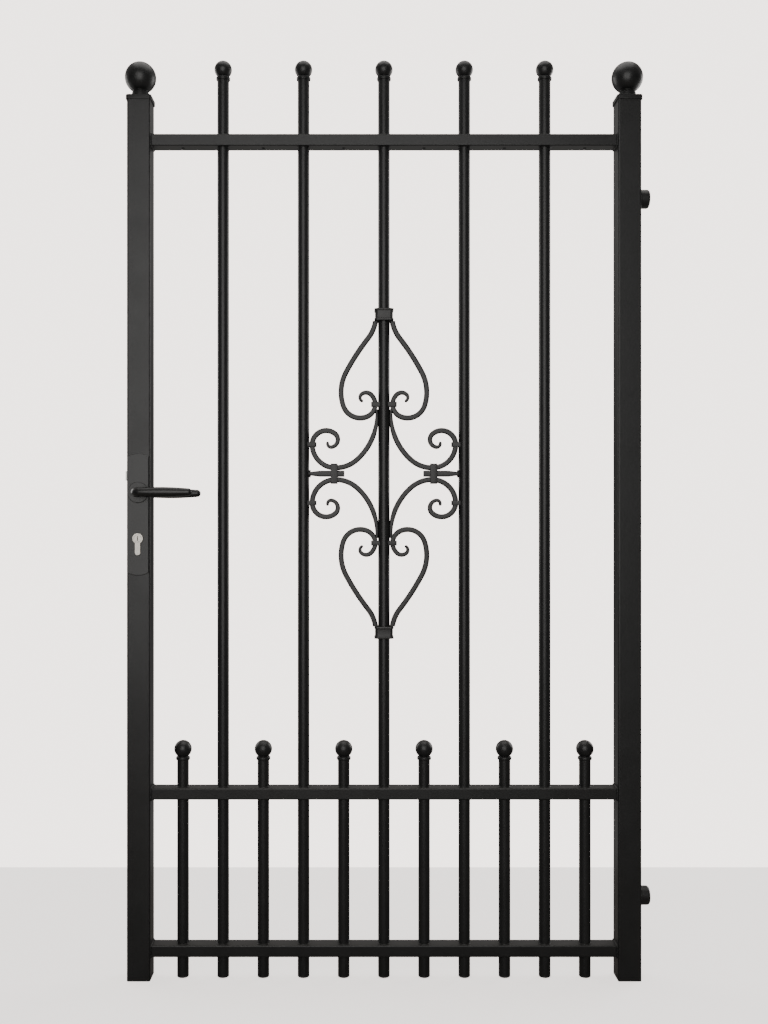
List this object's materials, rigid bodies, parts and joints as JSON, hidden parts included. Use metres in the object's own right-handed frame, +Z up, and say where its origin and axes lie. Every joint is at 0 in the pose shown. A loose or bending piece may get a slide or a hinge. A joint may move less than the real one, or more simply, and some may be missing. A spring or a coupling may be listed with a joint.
{
  "type": "garden gate",
  "caption": "Single leaf of a black steel garden gate: round bars with ball finials, forged scroll ornament, square stiles with ball caps, and a lever-handle lock with a deadbolt.",
  "frame": {"origin": "centre of the lower hinge socket's mouth, on the hinge stile's outer side", "axes": "+Z up along the stiles; +X away from the lock stile, out of the hinge sockets; +Y towards the back of the leaf, so the front faces -Y"},
  "size_m": [0.8997, 0.1232, 1.5735],
  "materials": {
    "powder_coat": "satin black powder coat on steel",
    "handle_coat": "smooth satin black coat on aluminium and steel",
    "plug_plastic": "matt black moulded plastic",
    "zinc_plate": "zinc-plated steel",
    "bright_steel": "brushed stainless steel",
    "nickel": "matt nickel-plated brass"
  },
  "bodies": {
    "leaf": {"bar_foot_plugs": "plug_plastic", "bottom_collar": "powder_coat", "bottom_rail": "powder_coat", "centre_bar_ties": "powder_coat", "cylinder_housing": "nickel", "cylinder_screw": "zinc_plate", "escutcheon_screws": "zinc_plate", "forend": "bright_steel", "forend_screws": "zinc_plate", "forend_tabs": "zinc_plate", "front_escutcheon": "handle_coat", "heart_scroll_lower_left": "powder_coat", "heart_scroll_lower_right": "powder_coat", "heart_scroll_upper_left": "powder_coat", "heart_scroll_upper_right": "powder_coat", "hinge_stile": "powder_coat", "latch_spring": "zinc_plate", "lock_case": "zinc_plate", "lock_case_cover": "zinc_plate", "lock_stile": "powder_coat", "lower_hinge_socket": "powder_coat", "middle_rail": "powder_coat", "outer_bar_ties": "powder_coat", "rear_escutcheon": "handle_coat", "rosettes": "handle_coat", "short_bar_1": "powder_coat", "short_bar_2": "powder_coat", "short_bar_3": "powder_coat", "short_bar_4": "powder_coat", "short_bar_5": "powder_coat", "short_bar_6": "powder_coat", "short_bar_finials": "powder_coat", "side_clamps": "powder_coat", "side_scroll_lower_left": "powder_coat", "side_scroll_lower_right": "powder_coat", "side_scroll_upper_left": "powder_coat", "side_scroll_upper_right": "powder_coat", "stile_balls": "powder_coat", "stile_caps": "powder_coat", "stile_foot_plugs": "plug_plastic", "stub_bars": "powder_coat", "tall_bar_1": "powder_coat", "tall_bar_2": "powder_coat", "tall_bar_3": "powder_coat", "tall_bar_4": "powder_coat", "tall_bar_5": "powder_coat", "tall_bar_finials": "powder_coat", "top_collar": "powder_coat", "top_rail": "powder_coat", "upper_hinge_socket": "powder_coat"},
    "levers": {"front_lever": "handle_coat", "rear_lever": "handle_coat", "spindle": "zinc_plate", "follower": "zinc_plate", "lever_grub_screws": "zinc_plate"},
    "latch": {"latch_bolt": "bright_steel"},
    "key_barrel": {"cylinder_plugs": "nickel", "cylinder_cam": "nickel"},
    "deadlock": {"dead_bolt": "bright_steel"}
  },
  "joints": [
    {"name": "lever_turn", "type": "hinge", "parent": "leaf", "child": "levers", "pos_m": [-0.873, 0, 0.691], "axis": [0, 1, 0], "range_deg": [0, 30], "stiffness_Nm_per_rad": 1.6, "springref_deg": -28.65},
    {"name": "latch_slide", "type": "slide", "parent": "leaf", "child": "latch", "axis": [1, 0, 0], "range_m": [0, 0.005], "deforming": ["latch_spring"]},
    {"name": "key_turn", "type": "hinge", "parent": "leaf", "child": "key_barrel", "pos_m": [-0.873, 0, 0.613], "axis": [0, 1, 0], "range_deg": [0, 360]},
    {"name": "dead_bolt_slide", "type": "slide", "parent": "leaf", "child": "deadlock", "axis": [-1, 0, 0], "range_m": [0, 0.02]}
  ],
  "couplings": [
    {"joint": "latch_slide", "follows": "lever_turn", "m_per_rad": 0.0095},
    {"joint": "key_turn", "follows": "dead_bolt_slide", "rad_per_m": 314.15}
  ]
}
